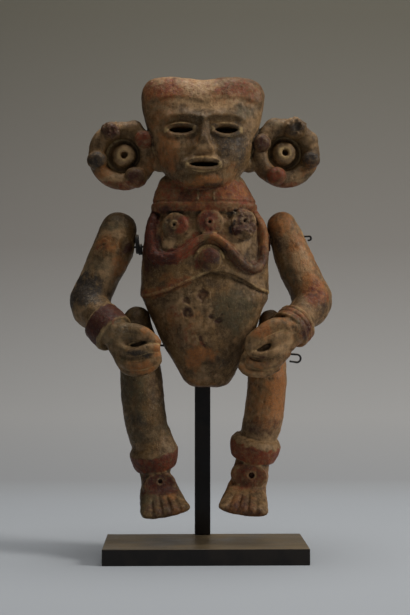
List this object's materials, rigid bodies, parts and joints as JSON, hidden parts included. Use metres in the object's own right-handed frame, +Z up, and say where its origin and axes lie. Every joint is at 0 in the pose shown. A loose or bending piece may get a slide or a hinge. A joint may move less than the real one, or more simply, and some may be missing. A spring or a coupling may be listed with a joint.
{
  "type": "anthropomorphic statuette",
  "caption": "Standing clay figure in an ancient Mexican style, with ear discs, a collar and separate arms and legs strung on wires, held upright by a black steel post and plate.",
  "frame": {"origin": "centre of the stand plate's underside", "axes": "+Z up, +X to the viewer's right, the figure faces -Y"},
  "size_m": [0.1653, 0.06, 0.3007],
  "materials": {
    "clay": "unglazed tan clay with worn cream slip, red paint on the bands and dark firing clouds",
    "stand": "near-black satin patina on steel",
    "wire": "dark oiled steel wire",
    "spacer": "matt black",
    "washer": "plain reddish brown"
  },
  "bodies": {
    "root": {"display_plate": "stand", "display_post": "stand", "figure_body": "clay", "arm_right": "clay", "arm_left": "clay", "leg_right": "clay", "leg_left": "clay", "shoulder_wire": "wire", "hip_wire": "wire", "shoulder_spacer_right": "spacer", "shoulder_spacer_left": "washer"}
  },
  "joints": []
}
